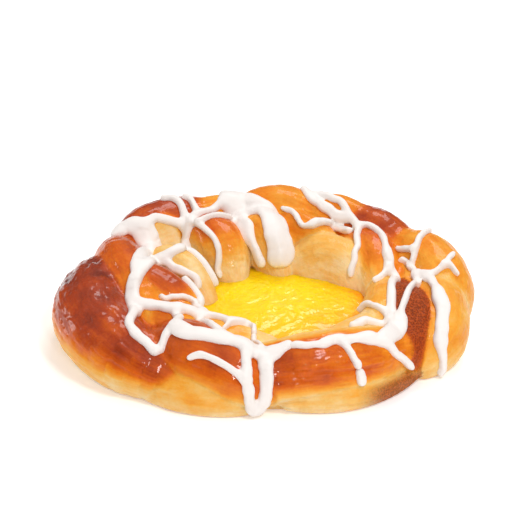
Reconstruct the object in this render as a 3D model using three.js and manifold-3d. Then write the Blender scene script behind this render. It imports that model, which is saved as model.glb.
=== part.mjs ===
// Danish pastry: a wreath of twisted dough, a pool of custard in its hollow and
// white icing piped over the top. Millimetres, +Z up, front of the pastry at -Y.
import * as THREE from 'three';
import { mergeVertices } from 'three/addons/utils/BufferGeometryUtils.js';
import Module from 'manifold-3d';

const wasm = await Module();
wasm.setup();

// ---- driving dimensions ----------------------------------------------------
const GAP = 0.3;                 // clearance kept between two touching pieces
const TAPER = 0.42;              // how much a rope of dough thins towards its ends
const TAPER_POWER = 2.2;         // how late along the rope the thinning sets in

// bed of dough under the ropes and the custard, an oval: half section as [out, up]
const BED_X = 3;
const BED_Y = 0;
const BED_RX = 39;
const BED_RY = 35;
const FLOOR = 5.5;
const BED_SECTION = [
  [0, 0], [42, 0], [45.5, 4], [45.5, 10], [41.5, 14],
  [36.5, 14], [32.5, 10.5], [29, 6.5], [25, FLOOR], [0, FLOOR],
];

// custard pool
const POOL_X = 5.5;
const POOL_Y = 2;
const POOL_RADIUS = 25;
const POOL_RIM = 9.2;
const POOL_TOP = 11;

// the icing is aimed at an oval line inside the wreath: its bearing runs round the
// wreath, its turn runs over it from 0 (outside) through 90 (top) to 180 (hollow)
const AIM_Z = 9;
const SUNK = 1.2;                // how far a string reaches under the crust line
const STEP = 3.6;                // spacing of the rings along a string of icing

// ---- ropes of dough: path along the middle, half width, half height ----------
const ROPES = [
  { at: [[-36, 20, 6], [-43.8, 8, 9.5], [-44.9, -8, 10], [-37.3, -22, 8.5], [-25, -31, 6]], w: 11.4, h: 11 },
  { at: [[-31, -28, 3.5], [-17, -34, 4.5], [-3, -36.5, 3]], w: 8, h: 6.5 },
  { at: [[-41, 25, 9], [-38, 13, 12.8], [-33, -2, 11], [-29, -16, 8]], w: 8, h: 10.5 },
  { at: [[-39, 22, 9.5], [-31, 32, 12.2], [-20, 37.5, 11.6], [-13, 38, 9]], w: 9, h: 11.2 },
  { at: [[-21, 36, 9], [-12, 39, 11.5], [-2, 38, 10]], w: 7.5, h: 11 },
  { at: [[-8, 39, 10], [5, 40.5, 13.5], [18, 36, 10]], w: 8.5, h: 11.5 },
  { at: [[12, 38, 11], [21, 37.5, 13.6], [30, 33, 10.5]], w: 7, h: 10 },
  { at: [[20, 37, 10], [31, 32.5, 12], [42, 23, 8.2]], w: 8.5, h: 10 },
  { at: [[35.5, 27.5, 10], [44.5, 21, 11.2], [50, 9, 9], [49, -2, 6]], w: 8.5, h: 10 },
  { at: [[43, 10, 9], [48, -1, 9], [47.5, -12, 7], [43, -19, 4]], w: 8, h: 9 },
  { at: [[36, 4, 10], [40, -9, 10], [38.5, -22, 5]], w: 7.2, h: 8.5 },
  { at: [[-3, -29, 8], [11, -31.5, 10], [26, -26.5, 9.5], [36, -19, 8]], w: 9.5, h: 9 },
  { at: [[-26, -18, 9], [-19, -26, 10.5], [-9, -33, 9.5], [-1, -36.5, 6.5]], w: 9.5, h: 9.5 },
  { at: [[8, -36.5, 3], [24, -32, 3.5], [39, -22, 3]], w: 7, h: 5 },
  { at: [[-36, 5, 11], [-29, 0, 13.3], [-19, -6, 9]], w: 7.2, h: 8.8 },
  { at: [[-31, -9, 9], [-24, -13.5, 10], [-17, -12, 8.5]], w: 7, h: 8 },
  { at: [[-31, 20, 9], [-23, 13, 12], [-15, 5, 8]], w: 6, h: 8.5 },
  { at: [[-18, 34, 12], [-12, 26, 13.5], [-8, 18, 8]], w: 7.5, h: 9 },
  { at: [[-5, 34, 11], [1, 28, 13], [5, 20, 8]], w: 6.5, h: 9 },
  { at: [[4, 35, 12], [12, 30, 13], [19, 25, 9]], w: 6.5, h: 9 },
  { at: [[10, 22, 8], [19, 21, 11], [28, 14, 8]], w: 7, h: 9 },
  { at: [[24, 30, 10.5], [31, 21, 11.5], [33, 7, 8]], w: 7.5, h: 8.5 },
  { at: [[33, 9, 9], [33, -5, 9], [29, -16, 7]], w: 6.5, h: 8 },
  { at: [[31, -9, 8], [25, -17, 8.5], [13, -22, 6]], w: 6.5, h: 7 },
  { at: [[-18, -11, 9], [-8, -19.5, 8.8], [8, -24, 6]], w: 6.2, h: 7 },
];

// ---- icing: route as [bearing, turn] in degrees, then width and height --------
const LEFT_NET = [
  { to: [[148, 40], [145, 49], [144, 58], [145, 67], [148.5, 78], [151, 86]], w: 6, h: 1.1 },
  { to: [[143, 56], [141, 66], [142, 74], [148, 84]], w: 3.6, h: 1 },
  { to: [[147, 76], [151, 92], [161, 99], [171, 100], [181, 100]], w: 3.8, h: 1 },
  { to: [[142, 62], [136.5, 66], [132.3, 73], [129, 78], [126, 86]], w: 2.9, h: 0.9 },
  { to: [[128, 53], [126, 55], [124.7, 63], [125, 70], [125.8, 76], [125.5, 83], [124.8, 90]], w: 2.4, h: 0.9 },
  { to: [[121, 56], [119.8, 60], [120, 68], [120.5, 78], [123, 86], [124.5, 90]], w: 2.1, h: 0.9 },
  { to: [[124.5, 88], [126.5, 95], [128.5, 99], [130, 108], [131.5, 124]], w: 2.9, h: 0.9 },
  { to: [[146, 130.5], [151, 129], [155, 126], [157, 119], [168, 116], [178, 112], [183, 106],
      [187, 101]], w: 3.2, h: 1 },
  { to: [[131, 118], [136, 126], [140.5, 134], [141.5, 144], [142.5, 154], [143.5, 163], [144, 170]], w: 2.8, h: 1.1 },
  { to: [[124.5, 98], [124, 110], [123.5, 126], [123, 137], [123.6, 147], [125, 156], [126.7, 164],
      [126.5, 172]], w: 1.9, h: 0.8 },
  { to: [[157, 121], [158, 133], [160, 143], [161.5, 151], [163, 158], [166, 164]], w: 2.6, h: 0.9 },
  { to: [[180, 149], [187, 157], [196, 161], [204, 163], [212, 161]], w: 2.6, h: 0.9 },
  { to: [[178, 101], [186, 101], [190, 96]], w: 2.8, h: 0.9 },
  { to: [[188, 98], [193, 93], [196.5, 89], [199.5, 86], [204, 80]], w: 4.3, h: 1.1 },
  { to: [[201, 84], [204, 80], [209, 65], [213, 53], [216, 49], [219.5, 46], [223, 43], [226.5, 36]], w: 3, h: 1 },
  { to: [[227, 37], [228, 46], [227.8, 57], [227.3, 74], [227, 86], [229.5, 92], [234, 90]], w: 2.2, h: 0.9 },
  { to: [[198, 92], [201.7, 104], [203.6, 113], [207, 122], [212, 129], [214.5, 135], [217, 142],
      [221, 152]], w: 3.6, h: 1 },
  { to: [[197.5, 132], [198.5, 138], [199.5, 143], [201.5, 150], [204, 158]], w: 1.7, h: 0.7 },
  { to: [[214.5, 135], [220, 128], [224, 120], [226, 106], [229, 94]], w: 2.4, h: 0.9 },
  { to: [[229, 92], [233, 86], [236.5, 84], [240, 87], [243.6, 90], [247, 91], [251, 92],
      [254, 95], [258, 98]], w: 5, h: 1.1 },
  { to: [[257, 98], [262, 97], [267, 95], [270, 96]], w: 6, h: 1.1 },
  { to: [[266, 96], [271, 97], [276, 100]], w: 3.8, h: 0.9 },
  { to: [[212, 158], [222, 158], [230, 158], [238, 157], [245, 156], [251, 163]], w: 2.2, h: 0.9 },
  { to: [[221, 160], [227, 152], [232, 144], [240, 122], [246, 110], [251, 98]], w: 2.2, h: 0.9 },
  { to: [[243, 150], [246, 158], [251, 164], [256, 163], [261, 152], [264, 136], [266, 118]], w: 1.6, h: 0.8 },
  { to: [[260, 92], [260, 70], [260.9, 45], [261.2, 28], [261.5, 14], [262, -1], [262.2, -21],
      [262.6, -36], [263.2, -44]], w: 3.2, h: 1 },
  { to: [[267, 98], [267, 80], [267.2, 64], [267.6, 48], [267.8, 30], [267.8, 14], [267.6, -6],
      [267.2, -24], [266.2, -36], [264.6, -44]], w: 4.1, h: 1 },
  { to: [[241, 46], [243, 52], [245.3, 55], [249.5, 52], [253.7, 45], [257.4, 35], [260, 25]], w: 2.1, h: 0.8 },
  { to: [[121, 86], [117.7, 84], [114.6, 79.5], [111.6, 75], [109, 75], [105.5, 72]], w: 2.4, h: 0.9 },
  { to: [[123, 104], [119, 106], [114, 107], [110, 108], [106, 96], [101, 92]], w: 1.6, h: 0.7 },
  { to: [[104, 70], [105, 90], [104.5, 105], [104, 120], [103, 134]], w: 6.4, h: 1 },
  { to: [[104.5, 124], [103, 136], [101, 146], [99.3, 154], [98, 161], [96.5, 167]], w: 3.4, h: 0.9 },
  { to: [[96, 86], [94, 104], [92, 120], [91.5, 133], [90, 143], [88.5, 151], [88, 158], [88, 164]], w: 4.4, h: 1 },
  { to: [[92, 92], [89, 106], [87, 120], [85.5, 133], [83.5, 143], [82, 151], [81.5, 157],
      [82.5, 163]], w: 5.4, h: 1 },
  { to: [[107, 62], [104, 66], [101, 71], [98, 78], [95, 86], [92, 93]], w: 4.5, h: 1 },
  { to: [[108, 72], [105, 80], [101, 90], [97, 98], [93, 106]], w: 4.5, h: 1 },
];

const RIGHT_NET = [
  { to: [[80.6, 105], [78.7, 112], [76.9, 119], [74.3, 125], [71.2, 123], [68.9, 119]], w: 1.7, h: 0.8 },
  { to: [[70, 121], [66, 109], [65.3, 98], [62, 93.5], [58.9, 95.5], [55, 103]], w: 2.3, h: 0.8 },
  { to: [[79, 64], [75, 75], [71.6, 79], [69.5, 81.5], [67, 83], [64.8, 84], [61.8, 84.5], [59, 84]], w: 3.2, h: 0.6 },
  { to: [[74, 66], [70, 70], [66.7, 73], [63.9, 73], [61, 76], [58.2, 80], [55.4, 83.5],
      [53.3, 89], [50.6, 100], [47.9, 114], [43.3, 128], [40.8, 139], [37.4, 147], [35.8, 156],
      [34.4, 163]], w: 2.1, h: 0.9 },
  { to: [[52, 87], [48.3, 83.5], [45.4, 84], [42.5, 87.5], [36.5, 97], [33, 104], [28.5, 112],
      [24.2, 119]], w: 2, h: 0.8 },
  { to: [[28.5, 112], [24.2, 119], [21, 126], [15.5, 132], [8, 132], [358.5, 131], [347.5, 129],
      [340, 127], [334, 120], [330, 108]], w: 2.8, h: 1 },
  { to: [[12.5, 151], [15.5, 144], [18.5, 138], [21, 128]], w: 1.7, h: 0.7 },
  { to: [[2, 94], [359, 98], [347, 101], [341.7, 100], [337.5, 99.5], [334.3, 97], [331, 90]], w: 1.9, h: 0.8 },
  { to: [[11.5, 77], [7, 70], [3, 65], [358.5, 61.5], [349.7, 51], [345.5, 42.5]], w: 3, h: 1 },
  { to: [[353, 56], [349.7, 51], [345.5, 42.5], [341.8, 36], [338.2, 27], [335.6, 17.3], [334, 8]], w: 4.2, h: 1.1 },
  { to: [[335.6, 17], [334, 6], [333, -7], [333, -21], [333.3, -32]], w: 2.4, h: 0.9 },
  { to: [[29.5, 46], [27.3, 60], [25.4, 64], [23.6, 68.5], [21, 72.5], [20, 76], [18.5, 77],
      [14, 77], [10.5, 75]], w: 1.9, h: 0.8 },
  { to: [[31, 79], [27.8, 74.5], [24.5, 70.5]], w: 2.2, h: 0.7 },
  { to: [[26, 94], [25.4, 86], [23, 82], [20, 79]], w: 1.5, h: 0.7 },
  { to: [[10.5, 74], [8, 66], [7.2, 57.5], [8.5, 52], [10, 48], [12.7, 45], [14.5, 41]], w: 1.8, h: 0.8 },
  { to: [[12, 82], [5, 88], [2, 94]], w: 2, h: 0.8 },
  { to: [[331, 95], [327, 86], [323, 79], [319.5, 73], [315, 68]], w: 5.6, h: 1.1 },
  { to: [[319.5, 74], [316, 69], [312.4, 66], [309, 73], [306, 79]], w: 4.6, h: 1.1 },
  { to: [[308, 77], [305, 80], [302.9, 81], [298.8, 83], [295.8, 88], [292.3, 88], [289.5, 84]], w: 3, h: 0.9 },
  { to: [[291, 86], [288, 82], [284, 85], [282.5, 87]], w: 2, h: 0.6 },
  { to: [[312, 60], [313.5, 51], [314.5, 42], [316, 26], [319, 7], [322.5, -18]], w: 2.3, h: 0.9 },
  { to: [[342, 168], [340.3, 155], [336, 145], [335, 137], [332.5, 128], [330, 112]], w: 1.8, h: 0.8 },
  { to: [[311, 135], [314, 140], [318.5, 141], [322, 140], [326, 134], [329, 118]], w: 3, h: 0.9 },
  { to: [[296, 82], [297.3, 72], [297.9, 61], [298.5, 50], [299.1, 38], [299.3, 31]], w: 2.1, h: 0.8 },
];

const DAB = [
  { to: [[299.8, 19], [300.2, 8], [300.4, -6]], w: 2.8, h: 0.9 },
];

// ---- helpers -----------------------------------------------------------------

// closed solid from a three.js shape, joined at its seams
function solid(geometry) {
  const shape = geometry.clone();
  shape.deleteAttribute('normal');
  shape.deleteAttribute('uv');
  const joined = mergeVertices(shape, 1e-4);
  const corners = [];
  const index = joined.index.array;
  for (let i = 0; i < index.length; i += 3) {
    const [a, b, c] = [index[i], index[i + 1], index[i + 2]];
    if (a !== b && b !== c && c !== a) {
      corners.push(a, b, c);
    }
  }
  return new wasm.Manifold(new wasm.Mesh({
    numProp: 3,
    vertProperties: new Float32Array(joined.attributes.position.array),
    triVerts: new Uint32Array(corners),
  }));
}

// a rope laid along a path: oval across, rounded at both ends, thinner at the ends
function rope(points, halfWide, halfHigh, taper, rows, sides, liftAt) {
  const curve = new THREE.CatmullRomCurve3(points);
  const shape = new THREE.CapsuleGeometry(1, 1, 2, sides, rows);
  const spots = shape.attributes.position;
  const spot = new THREE.Vector3();
  const side = new THREE.Vector3();
  const up = new THREE.Vector3();
  for (let i = 0; i < spots.count; i += 1) {
    const y = spots.getY(i);
    const along = THREE.MathUtils.clamp(y + 0.5, 0, 1);
    const beyond = y - (along - 0.5);
    const size = 1 - taper * Math.abs(2 * along - 1) ** TAPER_POWER;
    const tangent = curve.getTangentAt(along);
    if (liftAt) {
      up.copy(liftAt(along));
      side.crossVectors(tangent, up).normalize();
    } else {
      side.set(tangent.y, -tangent.x, 0).normalize();
    }
    up.crossVectors(side, tangent);
    spot.copy(curve.getPointAt(along));
    spot.addScaledVector(tangent, beyond * size * halfWide);
    spot.addScaledVector(side, spots.getX(i) * size * halfWide);
    spot.addScaledVector(up, spots.getZ(i) * size * halfHigh);
    spots.setXYZ(i, spot.x, spot.y, spot.z);
  }
  return solid(shape);
}

// biggest single body of a solid: crumbs left by a cut and pockets sealed inside
// are dropped
function biggest(body) {
  const parts = body.decompose();
  parts.sort((a, b) => b.volume() - a.volume());
  return parts[0];
}

// the whole dough, or the same dough a little fatter, to cut clearance with
function bakeDough(grow) {
  const section = BED_SECTION.map(([out, up], i) => {
    const inner = i > 5;
    const wider = out === 0 ? 0 : grow * (inner ? -1 : 1);
    return new THREE.Vector2(out + wider, up + (up > 0 ? grow : 0));
  });
  const bed = new THREE.LatheGeometry(section, 36);
  bed.rotateX(Math.PI / 2);
  bed.scale(1, BED_RY / BED_RX, 1);
  bed.translate(BED_X, BED_Y, 0);
  let dough = solid(bed);
  for (const { at, w, h } of ROPES) {
    const points = at.map(([x, y, z]) => new THREE.Vector3(x, y, z));
    dough = dough.add(rope(points, w + grow, h + grow, TAPER, 2 * at.length + 1, 12));
  }
  const tray = new THREE.BoxGeometry(200, 200, 40);
  tray.translate(0, 0, -20);
  return biggest(dough.subtract(solid(tray)));
}

function toGeometry(body) {
  const mesh = body.getMesh();
  const geometry = new THREE.BufferGeometry();
  geometry.setAttribute('position', new THREE.BufferAttribute(mesh.vertProperties, 3));
  geometry.setIndex(new THREE.BufferAttribute(mesh.triVerts, 1));
  return geometry;
}

// where a bearing and a turn meet the top of the dough, and which way it faces there
function landing(target, bearing, turn) {
  const b = THREE.MathUtils.degToRad(bearing);
  const t = THREE.MathUtils.degToRad(turn);
  const aim = new THREE.Vector3(
    BED_X + BED_RX * Math.cos(b),
    BED_Y + BED_RY * Math.sin(b),
    AIM_Z,
  );
  const out = new THREE.Vector3(Math.cos(b) / BED_RX, Math.sin(b) / BED_RY, 0).normalize();
  const way = out.multiplyScalar(Math.cos(t)).setZ(Math.sin(t));
  const reach = turn > 120 ? 22 : 45;
  const from = aim.clone().addScaledVector(way, reach);
  const ray = new THREE.Raycaster(from, way.clone().negate(), 0, reach);
  const hits = ray.intersectObject(target, false);
  const point = hits.length > 0 ? hits[0].point : aim.clone().addScaledVector(way, 7);
  return { point, way };
}

// one flat string of icing lying on the dough, its underside sunk out of sight
function icingString(target, { to, w, h }) {
  const unwound = [];
  for (const [bearing, turn] of to) {
    const last = unwound.length > 0 ? unwound[unwound.length - 1].x : bearing;
    unwound.push(new THREE.Vector3(last + ((bearing - last + 540) % 360) - 180, turn, 0));
  }
  const route = new THREE.CatmullRomCurve3(unwound);
  const count = Math.max(4, Math.round(route.getLength() * 0.65 / STEP) + 2);
  const stops = [];
  for (let i = 0; i < count; i += 1) {
    const place = route.getPointAt(i / (count - 1));
    stops.push(landing(target, place.x, place.y));
  }
  // the string bridges creases instead of following them to the bottom, and never
  // sinks into a crest
  for (let pass = 0; pass < 2; pass += 1) {
    const before = stops.map((stop) => stop.point.clone());
    for (let i = 1; i < count - 1; i += 1) {
      const middle = before[i - 1].clone().add(before[i + 1]).multiplyScalar(0.5);
      const rise = middle.sub(before[i]).dot(stops[i].way);
      stops[i].point.addScaledVector(stops[i].way, Math.max(0, rise) * 0.5);
    }
  }
  const path = stops.map(({ point, way }) => point.clone().addScaledVector(way, (h - SUNK) / 2));
  const lift = (along) => stops[Math.round(along * (count - 1))].way;
  return rope(path, w * 0.55, (h + SUNK) / 2, 0.15, count, 6, lift);
}

function icingNet(target, strings, cutter) {
  let net = icingString(target, strings[0]);
  for (const string of strings.slice(1)) {
    net = net.add(icingString(target, string));
  }
  return biggest(net.subtract(cutter));
}

// ---- pieces --------------------------------------------------------------------
const dough = bakeDough(0);
const fatDough = bakeDough(GAP);
const doughMesh = new THREE.Mesh(toGeometry(dough));
doughMesh.geometry.computeVertexNormals();

const poolProfile = [
  new THREE.Vector2(0, FLOOR - 2),
  new THREE.Vector2(POOL_RADIUS, FLOOR - 2),
  new THREE.Vector2(POOL_RADIUS, POOL_RIM),
  new THREE.Vector2(POOL_RADIUS * 0.72, POOL_RIM + 1.1),
  new THREE.Vector2(POOL_RADIUS * 0.38, POOL_TOP - 0.2),
  new THREE.Vector2(0, POOL_TOP),
];
const pool = new THREE.LatheGeometry(poolProfile, 32);
pool.rotateX(Math.PI / 2);
pool.translate(POOL_X, POOL_Y, 0);
const custard = biggest(solid(pool).subtract(fatDough));

const leftNet = icingNet(doughMesh, LEFT_NET, fatDough);
const rightNet = icingNet(doughMesh, RIGHT_NET, fatDough);
const dab = icingNet(doughMesh, DAB, fatDough);

const pieces = [
  { name: 'dough', body: dough, color: 0xc87432, roughness: 0.35 },
  { name: 'custard_filling', body: custard, color: 0xffc800, roughness: 0.15 },
  { name: 'icing_left_net', body: leftNet, color: 0xfffaf2, roughness: 0.4 },
  { name: 'icing_right_net', body: rightNet, color: 0xfffaf2, roughness: 0.4 },
  { name: 'icing_dab', body: dab, color: 0xfffaf2, roughness: 0.4 },
];

const group = new THREE.Group();
group.name = 'danish_pastry';
const whole = new THREE.Box3();
for (const { name, body, color, roughness } of pieces) {
  const material = new THREE.MeshStandardMaterial({ color, roughness, metalness: 0 });
  const mesh = new THREE.Mesh(toGeometry(body), material);
  mesh.name = name;
  mesh.geometry.computeBoundingBox();
  whole.union(mesh.geometry.boundingBox);
  group.add(mesh);
}

// the middle of the whole pastry stands over the origin
for (const mesh of group.children) {
  mesh.geometry.translate(-(whole.min.x + whole.max.x) / 2, -(whole.min.y + whole.max.y) / 2, 0);
}

export default group;
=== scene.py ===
# %% [markdown]
# # A danish pastry
# A baker twists ropes of laminated dough into a wreath, spoons custard into the
# hollow, bakes it, and pipes white icing over the cooled crust.
# Three things have to look right. The dough is a single baked solid whose ropes
# are still readable, dark on every crest and pale in every fold. The custard is
# a wet gel. The icing is a thick liquid that has just stopped running.
# The imported CAD model gives the place of the dough, and the custard and icing are set relative to it.

import math

import bpy
import numpy as np
import openvdb
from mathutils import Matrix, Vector, noise
from mathutils.bvhtree import BVHTree


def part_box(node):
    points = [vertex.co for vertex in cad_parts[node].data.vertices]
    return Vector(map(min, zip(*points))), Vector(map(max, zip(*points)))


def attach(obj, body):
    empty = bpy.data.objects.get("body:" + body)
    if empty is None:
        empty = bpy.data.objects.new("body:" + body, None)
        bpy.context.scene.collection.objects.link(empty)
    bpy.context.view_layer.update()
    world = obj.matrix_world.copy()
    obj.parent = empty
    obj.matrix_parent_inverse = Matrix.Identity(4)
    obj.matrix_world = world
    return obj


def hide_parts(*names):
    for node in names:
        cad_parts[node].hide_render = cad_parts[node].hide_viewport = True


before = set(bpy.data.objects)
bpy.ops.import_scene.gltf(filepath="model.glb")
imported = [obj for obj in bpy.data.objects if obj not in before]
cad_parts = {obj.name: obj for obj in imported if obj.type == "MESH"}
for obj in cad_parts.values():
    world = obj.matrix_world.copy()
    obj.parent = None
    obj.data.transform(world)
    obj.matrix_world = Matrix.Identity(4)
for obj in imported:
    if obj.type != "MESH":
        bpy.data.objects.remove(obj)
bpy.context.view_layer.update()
MM = 0.001

# %% [markdown]
# ## The ropes of dough
# A rope could be a curve with a bevel, but twenty-five bevelled curves stay
# twenty-five separate tubes, and the real dough has baked into one. So each rope
# is described by numbers: the path along its middle, half its width and half its
# height, all in millimetres. After them come the colours the oven gave it, from
# 0 (raw and pale) to 1 (nearly burnt): on its crest at the start and end of the
# path, and on its flank. The last numbers say how wrinkled its skin is and how
# clearly its folded layers show.

# %% Write the ropes down
ROPES = [
    # path, half width, half height, crest start, crest end, flank, wrinkle, layers
    ("outer_left", [(-36, 20, 6), (-43.8, 8, 9.5), (-44.9, -8, 10), (-37.3, -22, 8.5), (-25, -31, 6)],
     11.4, 11.0, 0.85, 0.63, 0.14, 1.0, 0.1),
    ("front_foot_left", [(-31, -28, 3.5), (-17, -34, 4.5), (-3, -36.5, 3)],
     8, 6.5, 0.20, 0.16, 0.20, 0.5, 0.9),
    ("left_overlap", [(-41, 25, 9), (-38, 13, 12.8), (-33, -2, 11), (-29, -16, 8)],
     8, 10.5, 0.72, 0.30, 0.16, 0.4, 0.2),
    ("back_left", [(-39, 22, 9.5), (-31, 32, 12.2), (-20, 37.5, 11.6), (-13, 38, 9)],
     9.0, 11.2, 0.76, 0.62, 0.34, 0.3, 0.2),
    ("back_gap", [(-21, 36, 9), (-12, 39, 11.5), (-2, 38, 10)], 7.5, 11, 0.26, 0.26, 0.22, 0.3, 0.3),
    ("back_crown", [(-8, 39, 10), (5, 40.5, 13.5), (18, 36, 10)], 8.5, 11.5, 0.40, 0.26, 0.16, 0.3, 0.2),
    ("back_step", [(12, 38, 11), (21, 37.5, 13.6), (30, 33, 10.5)], 7, 10, 0.34, 0.40, 0.26, 0.3, 0.3),
    ("back_right", [(20, 37, 10), (31, 32.5, 12.0), (42, 23, 8.2)], 8.5, 10, 0.78, 0.64, 0.36, 0.3, 0.2),
    ("right_shoulder", [(35.5, 27.5, 10), (44.5, 21, 11.2), (50, 9, 9), (49, -2, 6)],
     8.5, 10, 0.34, 0.24, 0.26, 0.3, 0.3),
    ("right_flank", [(43, 10, 9), (48, -1, 9), (47.5, -12, 7), (43, -19, 4)],
     8, 9, 0.24, 0.22, 0.20, 0.4, 0.4),
    ("spiced_fold", [(36, 4, 10), (40, -9, 10), (38.5, -22, 5)], 7.2, 8.5, 0.70, 0.75, 0.70, 0.5, 0.3),
    ("front_right", [(-3, -29, 8), (11, -31.5, 10), (26, -26.5, 9.5), (36, -19, 8)],
     9.5, 9, 0.72, 0.26, 0.12, 0.9, 1.0),
    ("front_left", [(-26, -18, 9), (-19, -26, 10.5), (-9, -33, 9.5), (-1, -36.5, 6.5)],
     9.5, 9.5, 0.68, 0.52, 0.34, 0.4, 0.4),
    ("front_foot_right", [(8, -36.5, 3), (24, -32, 3.5), (39, -22, 3)], 7, 5, 0.14, 0.24, 0.14, 0.5, 1.0),
    ("inner_left_upper", [(-36, 5, 11), (-29, 0, 13.3), (-19, -6, 9)], 7.2, 8.8, 0.76, 0.52, 0.34, 0.4, 0.2),
    ("inner_left_lower", [(-31, -9, 9), (-24, -13.5, 10), (-17, -12, 8.5)], 7, 8, 0.56, 0.46, 0.40, 0.3, 0.2),
    ("inner_back_left", [(-31, 20, 9), (-23, 13, 12), (-15, 5, 8)], 6, 8.5, 0.16, 0.04, 0.02, 0.3, 0.3),
    ("inner_back_one", [(-18, 34, 12), (-12, 26, 13.5), (-8, 18, 8)], 7.5, 9, 0.92, 0.02, 0.04, 0.3, 0.3),
    ("inner_back_two", [(-5, 34, 11), (1, 28, 13), (5, 20, 8)], 6.5, 9, 0.34, 0.20, 0.12, 0.3, 0.3),
    ("inner_back_three", [(4, 35, 12), (12, 30, 13), (19, 25, 9)], 6.5, 9, 0.38, 0.34, 0.20, 0.3, 0.3),
    ("inner_back_four", [(10, 22, 8), (19, 21, 11), (28, 14, 8)], 7, 9, 0.18, 0.12, 0.08, 0.3, 0.3),
    ("inner_right_upper", [(24, 30, 10.5), (31, 21, 11.5), (33, 7, 8)], 7.5, 8.5, 0.58, 0.36, 0.16, 0.3, 0.3),
    ("inner_right", [(33, 9, 9), (33, -5, 9), (29, -16, 7)], 6.5, 8, 0.30, 0.34, 0.24, 0.3, 0.4),
    ("inner_front_right", [(31, -9, 8), (25, -17, 8.5), (13, -22, 6)], 6.5, 7, 0.22, 0.30, 0.18, 0.3, 0.3),
    ("inner_front_left", [(-18, -11, 9), (-8, -19.5, 8.8), (8, -24, 6)], 6.2, 7, 0.34, 0.32, 0.26, 0.3, 0.3),
]
print(len(ROPES), "ropes of dough")

# %% [markdown]
# ## From ropes to one baked surface
# To join the ropes the way baking does, every point of a fine grid is asked how
# far it lies outside the nearest rope. Where that distance is zero is the
# crust. Taking the smaller of two distances joins two ropes with a sharp crease,
# and rounding that choice over half a millimetre gives the soft crease of dough
# that rose against its neighbour. OpenVDB, which comes with Blender, turns the
# grid into quads.

# %% Helper: a smooth line through points
def smooth_line(points, pieces):
    """Points along a smooth line that passes through all the given ones."""
    given = np.array(points, float)
    ends = np.vstack([2 * given[0] - given[1], given, 2 * given[-1] - given[-2]])
    per_span = max(2, pieces // (len(given) - 1))
    line = []
    for i in range(len(given) - 1):
        a, b, c, d = ends[i:i + 4]
        t = np.linspace(0, 1, per_span + 1)[:-1, None]
        line.append(0.5 * (2 * b + (c - a) * t + (2 * a - 5 * b + 4 * c - d) * t ** 2
                           + (3 * b - a - 3 * c + d) * t ** 3))
    return np.vstack(line + [given[-1:]])


# %% Helper: where points lie on a rope
PIECES = 18         # straight pieces that stand for the smooth path of a rope
TAPER = 0.42        # how much a rope thins towards its ends
TAPER_POWER = 2.2   # how late along the rope the thinning sets in


def rope_place(points, path, half_wide, half_high):
    """For each point: millimetres outside the rope, how far along it, and the turn around it."""
    line = smooth_line(path, PIECES)
    spans = len(line) - 1
    best = np.full(len(points), 1e9)
    along = np.zeros(len(points))
    across = np.zeros(len(points))
    rise = np.zeros(len(points))
    for k in range(spans):
        step = line[k + 1] - line[k]
        length = np.linalg.norm(step)
        tangent = step / length
        side = np.array([tangent[1], -tangent[0], 0.0])
        side /= np.linalg.norm(side)
        up = np.cross(side, tangent)
        t = np.clip((points - line[k]) @ tangent / length, 0, 1)
        off = points - line[k] - t[:, None] * step
        s = (k + t) / spans
        size = 1 - TAPER * np.abs(2 * s - 1) ** TAPER_POWER
        x = off @ side / (half_wide * size)
        z = off @ up / (half_high * size)
        r = np.sqrt(x ** 2 + z ** 2 + (off @ tangent / (half_wide * size)) ** 2)
        nearer = r < best
        best = np.where(nearer, r, best)
        along = np.where(nearer, s, along)
        across = np.where(nearer, x, across)
        rise = np.where(nearer, z, rise)
    return (best - 1) * min(half_wide, half_high), along, np.arctan2(across, rise)


def close_to_rope(points, path, half_wide, half_high):
    """The numbers of the points that may touch a rope."""
    margin = max(half_wide, half_high) + 3
    close = np.all((points > np.min(path, 0) - margin) & (points < np.max(path, 0) + margin), axis=1)
    return np.where(close)[0]


# %% Helpers: an empty grid, adding a shape to it, and quads out of it
FAR_OFF = 5.0


def soft_least(a, b, blend):
    """The smaller of two distances, rounded where they are nearly equal."""
    h = np.clip(0.5 + 0.5 * (b - a) / blend, 0, 1)
    return b * (1 - h) + a * h - blend * h * (1 - h)


class Block:
    """A box of evenly spaced points that holds a distance at each, in millimetres."""

    def __init__(self, low, high, pitch):
        self.pitch = pitch
        self.low = np.array(low, float)
        self.count = np.ceil((np.array(high) - self.low) / pitch).astype(int)
        self.far = np.full(self.count, FAR_OFF, np.float32)

    def part(self, low, high):
        """The grid places between two corners, and the points there."""
        first = np.clip(((np.array(low) - self.low) / self.pitch).astype(int), 0, self.count - 1)
        last = np.clip(((np.array(high) - self.low) / self.pitch).astype(int) + 2, 1, self.count)
        axes = [self.low[i] + self.pitch * np.arange(first[i], last[i]) for i in range(3)]
        points = np.stack(np.meshgrid(*axes, indexing="ij"), -1)
        return tuple(slice(a, b) for a, b in zip(first, last)), points

    def add(self, where, distance, blend):
        """Join a shape, given by its distances, to what is in the grid."""
        self.far[where] = soft_least(self.far[where], distance.astype(np.float32), blend)

    def quads(self):
        """Points and faces of the surface where the distance is zero."""
        grid = openvdb.FloatGrid()
        grid.background = FAR_OFF
        grid.copyFromArray(self.far)
        points, faces = grid.convertToQuads(isovalue=0.0)
        return points * self.pitch + self.low, faces[:, ::-1].tolist()


# %% Helpers: a mesh object, and its points in and out
def new_object(name, points, faces):
    """A smooth-shaded mesh object from points in millimetres."""
    mesh = bpy.data.meshes.new(name)
    mesh.from_pydata((points * MM).tolist(), [], faces)
    mesh.update()
    mesh.polygons.foreach_set("use_smooth", [True] * len(mesh.polygons))
    obj = bpy.data.objects.new(name, mesh)
    bpy.context.scene.collection.objects.link(obj)
    return obj


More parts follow.
